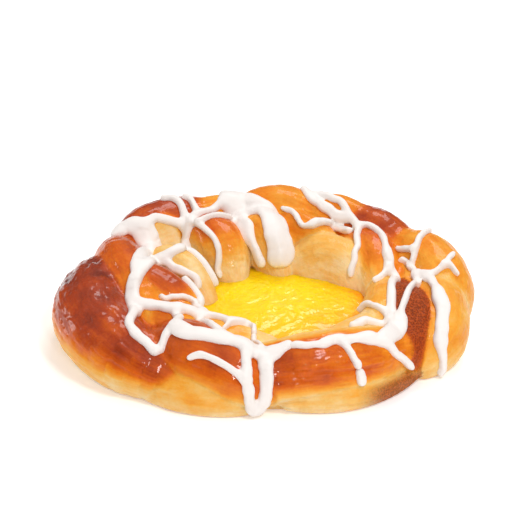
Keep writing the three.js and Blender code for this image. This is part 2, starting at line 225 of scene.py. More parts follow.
def points_of(obj):
    """All points of the mesh, in millimetres."""
    co = np.zeros(len(obj.data.vertices) * 3, np.float32)
    obj.data.vertices.foreach_get("co", co)
    return co.reshape(-1, 3).astype(float) / MM


def normals_of(obj):
    """The way the surface faces at each point."""
    no = np.zeros(len(obj.data.vertices) * 3, np.float32)
    obj.data.vertices.foreach_get("normal", no)
    return no.reshape(-1, 3).astype(float)


def move_points(obj, points):
    obj.data.vertices.foreach_set("co", (points * MM).astype(np.float32).ravel())
    obj.data.update()


# %% Lay the ropes into the grid
PITCH = 0.5         # from one grid point to the next
CREASE = 0.5        # how softly two ropes join

dough_block = Block((-59, -47, -1.5), (61, 52, 27), PITCH)
for _, path, half_wide, half_high, *_ in ROPES:
    margin = max(half_wide, half_high) + 2.5
    where, points = dough_block.part(np.min(path, 0) - margin, np.max(path, 0) + margin)
    distance = rope_place(points.reshape(-1, 3), path, half_wide, half_high)[0]
    dough_block.add(where, distance.reshape(points.shape[:3]), CREASE)
print("grid of", dough_block.count, "points")

# %% Bake them onto their bed
# under the ropes: an oval ring of dough, and a slab that closes the hollow
BED_X, BED_Y, BED_RX, BED_RY = 3.0, 0.0, 39.0, 35.0
BED_MEAN = (BED_RX + BED_RY) / 2
RING_HIGH, RING_RADIUS = 8, 7
SLAB_EDGE, SLAB_TOP = 1.06, 5.5


def bed_oval(x, y):
    """How far out a place is, with 1 on the middle line of the wreath."""
    return np.sqrt(((x - BED_X) / BED_RX) ** 2 + ((y - BED_Y) / BED_RY) ** 2)


where, points = dough_block.part(dough_block.low, dough_block.low + 200)
x, y, z = points[..., 0], points[..., 1], points[..., 2]
oval = bed_oval(x, y)
ring = np.sqrt(((oval - 1) * BED_MEAN) ** 2 + (z - RING_HIGH) ** 2) - RING_RADIUS
slab = np.maximum((oval - SLAB_EDGE) * BED_MEAN, z - SLAB_TOP)
dough_block.add(where, ring, CREASE)
dough_block.add(where, slab, CREASE)
dough_block.far = np.maximum(dough_block.far, -z.astype(np.float32))
crust_points, crust_faces = dough_block.quads()
dough = new_object("dough_crust", crust_points, crust_faces)
print("dough:", len(crust_points), "points", crust_points.min(0).round(1), crust_points.max(0).round(1))

# %% [markdown]
# ## Knowing which rope a point belongs to
# The crust needs to know, at every point, which rope it is on, how far along and
# how far round, because wrinkles run along a rope and browning sits on its
# crest. They are worked out once, as one number for each point. What the
# materials need of them is stored on the mesh later, under a name.

# %% Find every point's rope
co = points_of(dough)
nearest = np.full(len(co), 1e9)
second = np.full(len(co), 1e9)
owner = np.zeros(len(co), int)
along = np.zeros(len(co))
around = np.zeros(len(co))
places = []
for i, (_, path, half_wide, half_high, *_) in enumerate(ROPES):
    pick = close_to_rope(co, path, half_wide, half_high)
    outside, s, turn = rope_place(co[pick], path, half_wide, half_high)
    places.append((pick, outside, s, turn))
    second[pick] = np.minimum(second[pick], np.maximum(outside, nearest[pick]))
    win = outside < nearest[pick]
    won = pick[win]
    nearest[won] = outside[win]
    owner[won] = i
    along[won] = s[win]
    around[won] = turn[win]
crease = np.clip(1 - (second - nearest) / 1.6, 0, 1)
print("in a crease:", int((crease > 0.3).sum()), "of", len(co), "points")

# %% Turn the place on a rope into millimetres
def length_of(path):
    return np.linalg.norm(np.diff(smooth_line(path, PIECES), axis=0), axis=1).sum()


reach = np.array([length_of(rope[1]) for rope in ROPES])
radius = np.array([(rope[2] + rope[3]) / 2 for rope in ROPES])
wrinkle = np.array([rope[7] for rope in ROPES])[owner]
layers_of = np.array([rope[8] for rope in ROPES])
along_mm = along * reach[owner]
around_mm = around * radius[owner]
print("longest rope:", reach.max().round(1), "mm")

# %% [markdown]
# ## Wrinkles, folds and layers
# Real crust isn't smooth. Skin that dried while the dough was still rising is
# pulled into fine wrinkles along the rope, the sheet inside shows its layers on
# the flanks, and the whole is a little lumpy. Each is a displacement along the
# normal, made from noise that is stretched along the rope by the values just
# found. The flat underside, which sat on the tray, is left alone.

# %% Helpers: noise and a smooth step
def noise_at(points, seed):
    """Smooth noise from about -1 to 1 at each point."""
    shift = Vector((seed * 3.1, seed * 1.7, seed * 5.3))
    return np.array([noise.noise(Vector(p) + shift) for p in points.tolist()])


def smooth_step(low, high, value):
    t = np.clip((value - low) / (high - low), 0, 1)
    return t * t * (3 - 2 * t)


# %% Make the noises of the crust
grain = np.stack([along_mm, around_mm, owner * 17.0], 1)
lumps = noise_at(co / 7.0, 1)
folds = noise_at(grain / np.array([9.0, 3.2, 1.0]), 2)
fine = noise_at(grain / np.array([3.6, 1.1, 1.0]), 3)
pits = noise_at(co / 1.7, 4)
wander = noise_at(co / 5.0, 5)
layer_wave = 1 - 2.6 * np.abs(noise_at(grain / np.array([16.0, 1.5, 1.0]) + 0.35 * wander[:, None], 6))
flank = smooth_step(0.25, 0.8, np.abs(around) / (math.pi / 2))
layers = layers_of[owner] * flank
print("layers show on", int((layers > 0.3).sum()), "points")

# %% Move the crust
tray = smooth_step(0.3, 2.5, co[:, 2])
push = tray * (
    0.30 * lumps
    + (0.10 + 0.28 * wrinkle) * (1 - 1.6 * np.abs(folds))
    + (0.06 + 0.26 * wrinkle) * (0.6 - 1.5 * np.abs(fine))
    + 0.06 * pits
    + 0.28 * layers * layer_wave
    - 0.35 * crease
)
co = co + normals_of(dough) * push[:, None]
co[:, 2] = np.maximum(co[:, 2], 0)
print("crust pushed from", push.min().round(2), "to", push.max().round(2), "mm")

# %% Stand the dough where the CAD dough stands
cad_low, cad_high = (np.array(v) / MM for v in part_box("dough"))
middle = (crust_points.min(0) + crust_points.max(0)) / 2
SHIFT = (cad_low + cad_high) / 2 - middle
SHIFT[2] = 0
move_points(dough, co + SHIFT)
print("shift in mm:", SHIFT.round(2), "top", (co[:, 2].max()).round(2), "of", cad_high[2].round(2))

# %% [markdown]
# ## Browning
# Heat and egg wash brown what stands proud. The colour on each rope goes from
# its flank value to its crest value and slides from the start of the rope to its
# end. A few outer ropes caught more heat on one side, so their brown side leans.
# Where ropes meet, each one counts by how near it lies, so that no colour stops
# at a line. It is stored as one number for each point, `bake`.

# %% Blend the oven colours of the ropes
# how far the brown side leans outwards, where the browning stops, and how softly
LEAN = {
    "outer_left": (4, -0.25, 1.0),
    "back_left": (-10, -0.1, 0.95),
    "front_right": (48, 0.40, 0.45),
    "front_left": (16, 0.0, 0.85),
}
UPRIGHT = (0, -0.1, 0.95)

bake_sum = np.zeros(len(co))
weight_sum = np.zeros(len(co))
for (name, _, _, _, start, end, side, *_), (pick, outside, s, turn) in zip(ROPES, places):
    lean, edge, fade = LEAN.get(name, UPRIGHT)
    browned = smooth_step(edge, edge + fade, np.cos(turn - math.radians(lean)))
    value = side + (start * (1 - s) + end * s - side) * browned
    weight = np.exp(-np.clip(outside - nearest[pick], 0, 30) / 0.45)
    weight_sum[pick] += weight
    bake_sum[pick] += weight * value
bake = bake_sum / np.maximum(weight_sum, 1e-6)
print("bake from", bake.min().round(2), "to", bake.max().round(2))

# %% [markdown]
# The oven doesn't reach everywhere. The dough stays paler around the sheltered
# hollow, down towards the tray, deep in a crease, and where one rope of the back
# tucks in behind another. Lumps and wrinkles that stand out are a little darker,
# and the underside takes an even brown from the tray.

# %% Shelter the hollow, the foot and the creases
TUCK_X, TUCK_Y = -26, 26

sheltered = smooth_step(1.0, 0.72, bed_oval(co[:, 0], co[:, 1])) * smooth_step(20, 12, co[:, 2])
tucked = smooth_step(5.5, 2.5, np.hypot(co[:, 0] - TUCK_X, co[:, 1] - TUCK_Y))
underside = smooth_step(0.25, 0.05, co[:, 2])
bake = bake * (1 - 0.75 * sheltered)
bake = bake * (1 - 0.70 * smooth_step(9, 0.5, co[:, 2]))
bake = bake - 0.05 * crease * smooth_step(0.3, 1.0, crease) - 0.5 * tucked
bake = bake + 0.05 * lumps + 0.06 * wander + 0.13 * push
bake = bake * (1 - underside) + (0.40 + 0.08 * lumps + 0.08 * wander) * underside
# on the underside the streaks have no rope to follow
grain = grain * (1 - underside)[:, None] + co * [2.5, 1, 1] * underside[:, None]
print("underside:", int((underside > 0.5).sum()), "points")

# %% [markdown]
# A second number, `spice`, marks the fold on the right, whose cinnamon filling
# has come through, and the low patch in front of it where some of it ran out.

# %% Mark the spice
names = [rope[0] for rope in ROPES]
spice = (owner == names.index("spiced_fold")) * (1 - 0.5 * smooth_step(0.55, 0.95, along))
low_right = smooth_step(24, 33, co[:, 0]) * smooth_step(8.5, 4, co[:, 2]) * smooth_step(-14, -18, co[:, 1])
spice = np.maximum(spice, 0.85 * low_right * (owner != names.index("right_flank")))
spice = np.clip(spice - 0.25 * crease, 0, 1) * (1 - underside)
print("spiced:", int((spice > 0.5).sum()), "points")

# %% Keep the numbers on the mesh
def store(obj, name, values, kind="FLOAT"):
    """Keep one value for each point of the mesh under a name that materials can read."""
    layer = obj.data.attributes.new(name, kind, "POINT")
    field = "vector" if kind == "FLOAT_VECTOR" else "value"
    layer.data.foreach_set(field, np.asarray(values, np.float32).ravel())


store(dough, "bake", np.clip(bake, 0, 1))
store(dough, "spice", spice)
store(dough, "grain", grain, "FLOAT_VECTOR")
print("the dough keeps:", [layer.name for layer in dough.data.attributes])

# %% [markdown]
# ## Custard
# The pool is a thick gel that set while it baked, so its top is domed and
# crinkled. It is a disc of rings with a skirt that goes down into the dough, its
# top raised by noise folded at zero, which makes long soft ridges with narrow
# valleys between them.

# %% Set the custard's surface
POOL_X, POOL_Y, POOL_WIDE = 5.5, 2.0, 25.0
POOL_RIM, POOL_TOP, POOL_FOOT = 9.2, 11.0, 5.8
RINGS, SPOKES = 90, 240

pool = [(0, 0, 0)]
for i in range(1, RINGS + 1):
    out = POOL_WIDE * i / RINGS
    for j in range(SPOKES):
        a = 2 * math.pi * j / SPOKES
        pool.append((out * math.cos(a), out * math.sin(a), 0))
pool = np.array(pool, float)
out = np.hypot(pool[:, 0], pool[:, 1]) / POOL_WIDE
swirl = noise_at(pool / 9.0, 11)
ridge = 1 - 2.2 * np.abs(noise_at(pool / 4.0 + 0.9 * swirl[:, None], 12))
small = 1 - 2.2 * np.abs(noise_at(pool / 1.6 + swirl[:, None], 13))
level = POOL_TOP - 0.65 - (POOL_TOP - POOL_RIM) * out ** 2.2
crinkle = (0.15 * ridge + 0.08 * small) * smooth_step(1.0, 0.85, out)
pool[:, 2] = np.minimum(level + crinkle, POOL_TOP + 0.1)
print("custard from", pool[:, 2].min().round(2), "to", pool[:, 2].max().round(2), "mm high")

# %% Close it with a skirt and a floor
faces = [(0, 1 + j, 1 + (j + 1) % SPOKES) for j in range(SPOKES)]
for i in range(1, RINGS):
    a, b = 1 + (i - 1) * SPOKES, 1 + i * SPOKES
    faces += [(a + j, b + j, b + (j + 1) % SPOKES, a + (j + 1) % SPOKES) for j in range(SPOKES)]
rim, foot = len(pool) - SPOKES, len(pool)
faces += [(rim + j, foot + j, foot + (j + 1) % SPOKES, rim + (j + 1) % SPOKES) for j in range(SPOKES)]
faces += [(foot + SPOKES, foot + (j + 1) % SPOKES, foot + j) for j in range(SPOKES)]
skirt = pool[rim:] * [1, 1, 0] + [0, 0, POOL_FOOT]
pool = np.vstack([pool, skirt, [[0, 0, POOL_FOOT]]])
custard = new_object("custard_pool", pool + [POOL_X, POOL_Y, 0] + SHIFT, faces)
print("custard:", len(pool), "points")

# %% [markdown]
# ## Icing
# Icing is piped from a bag in loose passes and lands on the crust. Each pass is
# written as places on the wreath: a bearing around it, and a turn over it, from
# 0 on the outside through 90 on top to 180 towards the hollow. A ray sent in
# from outside at that bearing and turn finds the crust there, so every string
# lies on the dough whatever the dough looks like. The strings could be curves
# with a bevel, but where wet icing meets wet icing it flows together, and that
# is again what the grid of distances does well: a string is a row of flat-topped
# drops sunk into the crust, joined to its neighbours with a wide soft blend.

# %% Write the passes of the left net down: route, width, height
LEFT_NET = [
    ([(148, 40), (145, 49), (144, 58), (145, 67), (148.5, 78), (151, 86)], 6.0, 1.1),
    ([(143, 56), (141, 66), (142, 74), (148, 84)], 3.6, 1.0),
    ([(147, 76), (151, 92), (161, 99), (171, 100), (181, 100)], 3.8, 1.0),
    ([(142, 62), (136.5, 66), (132.3, 73), (129, 78), (126, 86)], 2.9, 0.9),
    ([(128, 53), (126, 55), (124.7, 63), (125, 70), (125.8, 76), (125.5, 83), (124.8, 90)], 2.4, 0.9),
    ([(121, 56), (119.8, 60), (120, 68), (120.5, 78), (123, 86), (124.5, 90)], 2.1, 0.9),
    ([(124.5, 88), (126.5, 95), (128.5, 99), (130, 108), (131.5, 124)], 2.9, 0.9),
    ([(146, 130.5), (151, 129), (155, 126), (157, 119), (168, 116), (178, 112), (183, 106), (187, 101)],
     3.2, 1.0),
    ([(131, 118), (136, 126), (140.5, 134), (141.5, 144), (142.5, 154), (143.5, 163), (144, 170)], 2.8, 1.5),
    ([(124.5, 98), (124, 110), (123.5, 126), (123, 137), (123.6, 147), (125, 156), (126.7, 164),
      (126.5, 172)], 1.9, 0.8),
    ([(157, 121), (158, 133), (160, 143), (161.5, 151), (163, 158), (166, 164)], 2.6, 0.9),
    ([(180, 149), (187, 157), (196, 161), (204, 163), (212, 161)], 2.6, 0.9),
    ([(178, 101), (186, 101), (190, 96)], 2.8, 0.9),
    ([(188, 98), (193, 93), (196.5, 89), (199.5, 86), (204, 80)], 4.3, 1.1),
    ([(201, 84), (204, 80), (209, 65), (213, 53), (216, 49), (219.5, 46), (223, 43), (226.5, 36)], 3.0, 1.0),
    ([(227, 37), (228, 46), (227.8, 57), (227.3, 74), (227, 86), (229.5, 92), (234, 90)], 2.2, 0.9),
    ([(198, 92), (201.7, 104), (203.6, 113), (207, 122), (212, 129), (214.5, 135), (217, 142), (221, 152)],
     3.6, 1.0),
    ([(197.5, 132), (198.5, 138), (199.5, 143), (201.5, 150), (204, 158)], 1.7, 0.7),
    ([(214.5, 135), (220, 128), (224, 120), (226, 106), (229, 94)], 2.4, 0.9),
    ([(229, 92), (233, 86), (236.5, 84), (240, 87), (243.6, 90), (247, 91), (251, 92), (254, 95), (258, 98)],
     5.0, 1.1),
    ([(257, 98), (262, 97), (267, 95), (270, 96)], 6.0, 1.1),
    ([(266, 96), (271, 97), (276, 100)], 3.8, 0.9),
    ([(212, 158), (222, 158), (230, 158), (238, 157), (245, 156), (251, 163)], 2.2, 0.9),
    ([(221, 160), (227, 152), (232, 144), (240, 122), (246, 110), (251, 98)], 2.2, 0.9),
    ([(243, 150), (246, 158), (251, 164), (256, 163), (261, 152), (264, 136), (266, 118)], 1.6, 0.8),
    ([(260, 92), (260, 70), (260.9, 45), (261.2, 28), (261.5, 14), (262, -1), (262.2, -21), (262.6, -36),
      (263.2, -44)], 3.2, 1.0),
    ([(267, 98), (267, 80), (267.2, 64), (267.6, 48), (267.8, 30), (267.8, 14), (267.6, -6), (267.2, -24),
      (266.2, -36), (264.6, -44)], 4.1, 1.0),
    ([(241, 46), (243, 52), (245.3, 55), (249.5, 52), (253.7, 45), (257.4, 35), (260, 25)], 2.1, 0.8),
    ([(121, 86), (117.7, 84), (114.6, 79.5), (111.6, 75), (109, 75), (105.5, 72)], 2.4, 0.9),
    ([(123, 104), (119, 106), (114, 107), (110, 108), (106, 96), (101, 92)], 1.6, 0.7),
    ([(104, 70), (105, 90), (104.5, 105), (104, 120), (103, 134)], 6.4, 1.0),
    ([(104.5, 124), (103, 136), (101, 146), (99.3, 154), (98, 161), (96.5, 167)], 3.4, 0.9),
    ([(96, 86), (94, 104), (92, 120), (91.5, 133), (90, 143), (88.5, 151), (88, 158), (88, 164)], 4.4, 1.0),
    ([(92, 92), (89, 106), (87, 120), (85.5, 133), (83.5, 143), (82, 151), (81.5, 157), (82.5, 163)],
     5.4, 1.0),
    ([(107, 62), (104, 66), (101, 71), (98, 78), (95, 86), (92, 93)], 4.5, 1.0),
    ([(108, 72), (105, 80), (101, 90), (97, 98), (93, 106)], 4.5, 1.0),
]
print(len(LEFT_NET), "passes in the left net")

# %% Write the right net and the lone drop down
RIGHT_NET = [
    ([(85.5, 93), (81.7, 102), (78.7, 112), (76.9, 119), (74.3, 125), (71.2, 123), (68.9, 119)], 1.7, 0.8),
    ([(70, 121), (66, 109), (65.3, 98), (62, 93.5), (58.9, 95.5), (55, 103)], 2.3, 0.8),
    ([(79, 64), (75, 75), (71.6, 79), (69.5, 81.5), (67, 83), (64.8, 84), (61.8, 84.5), (59, 84)], 3.2, 0.6),
    ([(74, 66), (70, 70), (66.7, 73), (63.9, 73), (61, 76), (58.2, 80), (55.4, 83.5), (53.3, 89), (50.6, 100),
      (47.9, 114), (43.3, 128), (40.8, 139), (37.4, 147), (35.8, 156), (34.4, 163)], 2.1, 0.9),
    ([(52, 87), (48.3, 83.5), (45.4, 84), (42.5, 87.5), (36.5, 97), (33, 104), (28.5, 112), (24.2, 119)],
     2.0, 0.8),
    ([(28.5, 112), (24.2, 119), (21, 126), (15.5, 132), (8, 132), (358.5, 131), (347.5, 129), (340, 127),
      (334, 120), (330, 108)], 2.8, 1.0),
    ([(12.5, 151), (15.5, 144), (18.5, 138), (21, 128)], 1.7, 0.7),
    ([(2, 94), (359, 98), (347, 101), (341.7, 100), (337.5, 99.5), (334.3, 97), (331, 90)], 1.9, 0.8),
    ([(11.5, 77), (7, 70), (3, 65), (358.5, 61.5), (349.7, 51), (345.5, 42.5)], 3.0, 1.0),
    ([(353, 56), (349.7, 51), (345.5, 42.5), (341.8, 36), (338.2, 27), (335.6, 17.3), (334, 8)], 4.2, 1.1),
    ([(335.6, 17), (334, 6), (333, -7), (333, -21), (333.3, -32)], 2.4, 0.9),
    ([(29.5, 46), (27.3, 60), (25.4, 64), (23.6, 68.5), (21, 72.5), (20, 76), (18.5, 77), (14, 77),
      (10.5, 75)], 1.9, 0.8),
    ([(31, 79), (27.8, 74.5), (24.5, 70.5)], 2.2, 0.7),
    ([(26, 94), (25.4, 86), (23, 82), (20, 79)], 1.5, 0.7),
    ([(10.5, 74), (8, 66), (7.2, 57.5), (8.5, 52), (10, 48), (12.7, 45), (14.5, 41)], 1.8, 0.8),
    ([(9.5, 49), (9, 44), (7, 39), (6, 35)], 1.3, 0.7),
    ([(12, 82), (5, 88), (2, 94)], 2.0, 0.8),
    ([(331, 95), (327, 86), (323, 79), (319.5, 73), (315, 68)], 5.6, 1.1),
    ([(319.5, 74), (316, 69), (312.4, 66), (309, 73), (306, 79)], 4.6, 1.1),
    ([(308, 77), (305, 80), (302.9, 81), (298.8, 83), (295.8, 88), (292.3, 88), (289.5, 84)], 3.0, 0.9),
    ([(291, 86), (288, 82), (284, 86), (280.2, 91), (277.5, 96)], 2.0, 0.6),
    ([(312, 60), (313.5, 51), (314.5, 42), (316, 26), (319, 7), (322.5, -18)], 2.3, 0.9),
    ([(342, 168), (340.3, 155), (336, 145), (335, 137), (332.5, 128), (330, 112)], 1.8, 0.8),
    ([(311, 135), (314, 140), (318.5, 141), (322, 140), (326, 134), (329, 118)], 3.0, 0.9),
    ([(296, 82), (297.3, 72), (297.9, 61), (298.5, 50), (299.1, 38), (299.3, 31)], 2.1, 0.8),
]
DAB = [
    ([(299.8, 19), (300.2, 8), (300.4, -6)], 2.8, 0.9),
]
print(len(RIGHT_NET), "passes in the right net, and", len(DAB), "drop")

# %% Helper: where one place of a pass lands
crust_tree = BVHTree.FromObject(dough, bpy.context.evaluated_depsgraph_get())
AIM_HIGH = 9                            # rays aim at the middle line of the wreath
FROM_OUTSIDE, FROM_HOLLOW = 45, 22      # where they start, short of the far side of the hollow


def landing(bearing, turn):
    """The point of the crust seen from outside there, the way out, and the way it faces."""
    b, t = math.radians(bearing), math.radians(turn)
    middle_line = BED_X + BED_RX * math.cos(b), BED_Y + BED_RY * math.sin(b)
    aim = Vector((middle_line[0] + SHIFT[0], middle_line[1] + SHIFT[1], AIM_HIGH)) * MM
    level = Vector((math.cos(b) / BED_RX, math.sin(b) / BED_RY, 0)).normalized()
    way = level * math.cos(t) + Vector((0, 0, math.sin(t)))
    distance = (FROM_HOLLOW if turn > 120 else FROM_OUTSIDE) * MM
    hit, facing, _, _ = crust_tree.ray_cast(aim + way * distance, -way, distance)
    return np.array(hit or aim + way * RING_RADIUS * MM) / MM, np.array(way), np.array(facing or way)


# %% [markdown]
# A string of icing has some body, so it doesn't follow every dip of the crust. The
# landed points are smoothed: each one moves halfway up to its neighbours where it
# lies in a dip, never down, and slides level between them along the crust.

# %% Helper: the line of a whole pass
MM_PER_DEGREE = 0.65    # about how far one degree of bearing or turn goes on the crust


def icing_line(route, spacing):
    """Evenly spaced points where one pass lies on the crust, and the way each faces."""
    unwound = [route[0]]
    for bearing, turn in route[1:]:
        last = unwound[-1][0]
        unwound.append((last + (bearing - last + 540) % 360 - 180, turn))
    degrees = np.linalg.norm(np.diff(np.array(unwound, float), axis=0), axis=1).sum()
    count = max(4, int(degrees * MM_PER_DEGREE / spacing))
    places = smooth_line([(b, t, 0) for b, t in unwound], count)
    landed = [landing(b, t) for b, t, _ in places]
    spots, ways, facings = (np.array(column) for column in zip(*landed))
    for _ in range(6):
        mean = (spots[:-2] + spots[2:]) / 2
        dip = ((mean - spots[1:-1]) * ways[1:-1]).sum(1)
        spots[1:-1] += ways[1:-1] * np.maximum(0, dip)[:, None] * 0.5
        spots[1:-1] += (mean - spots[1:-1] - ways[1:-1] * dip[:, None]) * 0.3
    for _ in range(8):
        facings[1:-1] = facings[:-2] + facings[1:-1] + facings[2:]
        facings /= np.linalg.norm(facings, axis=1)[:, None]
    return spots, facings


# %% Helper: the drops of one pass
SPACING = 0.7       # from one drop to the next
HALF_WIDE = 0.45    # of the written width: half of it, less the blend with the crust
HEIGHT = 0.38       # over the crust, where the written height is 1
SUNK = 1.4          # below it


def drops_of(number, route, wide, high):
    """Place, facing, half width and height of every drop, a little uneven and thinner at the ends."""
    spots, facings = icing_line(route, SPACING)
    drops = []
    for k, (spot, facing) in enumerate(zip(spots, facings)):
        uneven = noise.noise(Vector((k * 0.16, number * 7.7, 0.5)))
        thin = 0.82 + 0.18 * min(1, k / 3, (len(spots) - 1 - k) / 3)
        half = wide * HALF_WIDE * (1 + 0.22 * uneven) * thin
        drops.append((spot, facing, half, HEIGHT * high * (1 + 0.2 * uneven)))
    return drops


def outside_drop(points, spot, facing, half, high):
    """How far points lie outside a drop with a flat top and a steep edge, nearly in millimetres."""
    offset = points - spot
    up = offset @ facing
    across = np.sqrt(np.maximum(0, (offset ** 2).sum(-1) - up ** 2))
    deep = np.where(up > 0, high, SUNK)
    flat, tall = across / half, up / deep
    size = np.sqrt(flat ** 4 + tall ** 2) + 1e-9
    steep = np.sqrt((2 * flat ** 3 / half) ** 2 + (tall / deep) ** 2) / size + 0.05
    return (size - 1) / steep


# %% Pipe the icing
FLOW = 1.3          # how widely one string flows into another


def pipe_icing(name, passes, pitch):
    """One object for all passes of a net, flowed together where they meet."""
    strings = [drops_of(number, *one_pass) for number, one_pass in enumerate(passes)]
    every = np.array([drop[0] for drops in strings for drop in drops])
    block = Block(every.min(0) - 5, every.max(0) + 5, pitch)
    for drops in strings:
        spots = np.array([drop[0] for drop in drops])
        where, points = block.part(spots.min(0) - 5, spots.max(0) + 5)
        string = Block(points[0, 0, 0], points[-1, -1, -1] + pitch / 2, pitch)
        for spot, facing, half, high in drops:
            near_it, near = string.part(spot - half - 0.8, spot + half + 0.8)
            string.add(near_it, outside_drop(near, spot, facing, half, high), 0.1)
        block.add(where, string.far[tuple(slice(0, n) for n in points.shape[:3])], FLOW)
    obj = new_object(name, *block.quads())
    thick = []
    for vertex in obj.data.vertices:
        crust_point, facing, _, _ = crust_tree.find_nearest(vertex.co)
        thick.append((vertex.co - crust_point).dot(facing) / MM)
    store(obj, "thick", thick)
    print(name, len(thick), "points, up to", round(max(thick), 2), "mm thick")
    return obj


left_icing = pipe_icing("icing_left", LEFT_NET, 0.34)
right_icing = pipe_icing("icing_right", RIGHT_NET, 0.34)
dab_icing = pipe_icing("icing_drop", DAB, 0.3)

# %% [markdown]
# ## Materials
# Crust, custard and icing share two effects, so each effect is a node group that
# is made once. Mottle breaks a value up in patches of two sizes. Speckle gives
# small soft grains, for specks of spice and for sugar.

# %% Helper: an empty node group
def new_group(name, inputs, outputs):
    """An empty node group with the named input and output sockets."""
    group = bpy.data.node_groups.new(name, "ShaderNodeTree")
    for label, kind, value in inputs:
        socket = group.interface.new_socket(label, in_out="INPUT", socket_type=kind)
        if value is not None:
            socket.default_value = value
    for label, kind in outputs:
        group.interface.new_socket(label, in_out="OUTPUT", socket_type=kind)
    return group, group.nodes.new("NodeGroupInput"), group.nodes.new("NodeGroupOutput")


# %% Helpers: one node each, with its sockets filled or linked
def fill(tree, socket, value):
    """Set a socket to a number or a colour, or link another node's output to it."""
    if isinstance(value, tuple):
        socket.default_value = (*value, 1)
    elif isinstance(value, (int, float)):
        socket.default_value = value
    else:
        tree.links.new(value, socket)


def math_node(tree, kind, a, b, clamp=False):
    node = tree.nodes.new("ShaderNodeMath")
    node.operation = kind
    node.use_clamp = clamp
    fill(tree, node.inputs[0], a)
    fill(tree, node.inputs[1], b)
    return node.outputs[0]


def ramp_node(tree, value, stops):
    """A colour ramp with the given places and colours."""
    node = tree.nodes.new("ShaderNodeValToRGB")
    ramp = node.color_ramp
    while len(ramp.elements) < len(stops):
        ramp.elements.new(0.5)
    for element, (place, color) in zip(ramp.elements, stops):
        element.position = place
        element.color = (*color, 1)
    tree.links.new(value, node.inputs[0])
    return node.outputs[0]


def mix_color(tree, mask, under, over):
    """One colour over another, where the mask says."""
    node = tree.nodes.new("ShaderNodeMix")
    node.data_type = "RGBA"
    fill(tree, node.inputs[0], mask)
    fill(tree, node.inputs[6], under)
    fill(tree, node.inputs[7], over)
    return node.outputs[2]


def noise_node(tree, place, scale, detail, distortion=0.0):
    node = tree.nodes.new("ShaderNodeTexNoise")
    fill(tree, node.inputs["Vector"], place)
    fill(tree, node.inputs["Scale"], scale)
    fill(tree, node.inputs["Detail"], detail)
    fill(tree, node.inputs["Distortion"], distortion)
    return node


def read_attribute(tree, name, output="Fac"):
    """What was stored on the mesh under a name."""
    node = tree.nodes.new("ShaderNodeAttribute")
    node.attribute_name = name
    return node.outputs[output]


def place_group(tree, group, **values):
    """A group placed in a material, with its own values."""
    node = tree.nodes.new("ShaderNodeGroup")
    node.node_tree = group
    for label, value in values.items():
        fill(tree, node.inputs[label], value)
    return node.outputs[0]


# %% Effect: mottle
mottle, given, result = new_group(
    "mottle",
    [("Position", "NodeSocketVector", None), ("Large", "NodeSocketFloat", 150.0),
     ("Small", "NodeSocketFloat", 700.0), ("Strength", "NodeSocketFloat", 0.2)],
    [("Value", "NodeSocketFloat")],
)
patches = []
for label in ("Large", "Small"):
    patch = noise_node(mottle, given.outputs["Position"], given.outputs[label], 4.0)
    patch.inputs["Roughness"].default_value = 0.6
    patches.append(math_node(mottle, "SUBTRACT", patch.outputs[0], 0.5))
summed = math_node(mottle, "ADD", patches[0], math_node(mottle, "MULTIPLY", patches[1], 0.6))
mottle.links.new(math_node(mottle, "MULTIPLY", summed, given.outputs["Strength"]), result.inputs["Value"])
print("made the group", mottle.name)

# %% Effect: speckle
speckle, given, result = new_group(
    "speckle",
    [("Position", "NodeSocketVector", None), ("Scale", "NodeSocketFloat", 1500.0),
     ("Amount", "NodeSocketFloat", 0.4)],
    [("Mask", "NodeSocketFloat")],
)
cells = speckle.nodes.new("ShaderNodeTexVoronoi")
cells.inputs["Randomness"].default_value = 1.0
speckle.links.new(given.outputs["Position"], cells.inputs["Vector"])
speckle.links.new(given.outputs["Scale"], cells.inputs["Scale"])
from_middle = math_node(speckle, "DIVIDE", cells.outputs["Distance"], given.outputs["Amount"])
speckle.links.new(math_node(speckle, "SUBTRACT", 1.0, from_middle, clamp=True), result.inputs["Mask"])
print("made the group", speckle.name)

# %% [markdown]
# ## Crust
# One number, `bake`, becomes a colour on a ramp from pale crumb through gold and
# orange to dark brown. Streaks along the grain and mottle shift the number first,
# so the colour breaks up the way egg wash does. A thin clear coat gives the wet
# shine of the wash. It lies thicker on the browned crests than on the flanks.

# %% Helpers: a material, its shader's values and its relief
def new_material(name):
    material = bpy.data.materials.new(name)
    material.use_nodes = True
    return material, material.node_tree, material.node_tree.nodes["Principled BSDF"]


def finish_with(tree, shader, values):
    """Fill the named sockets of a material's shader."""
    for label, value in values.items():
        fill(tree, shader.inputs[label], value)


def add_relief(tree, shader, height, strength, depth):
    """Let a value stand out of the surface, by a depth in metres."""
    bump = tree.nodes.new("ShaderNodeBump")
    bump.inputs["Strength"].default_value = strength
    bump.inputs["Distance"].default_value = depth
    tree.links.new(height, bump.inputs["Height"])
    tree.links.new(bump.outputs[0], shader.inputs["Normal"])


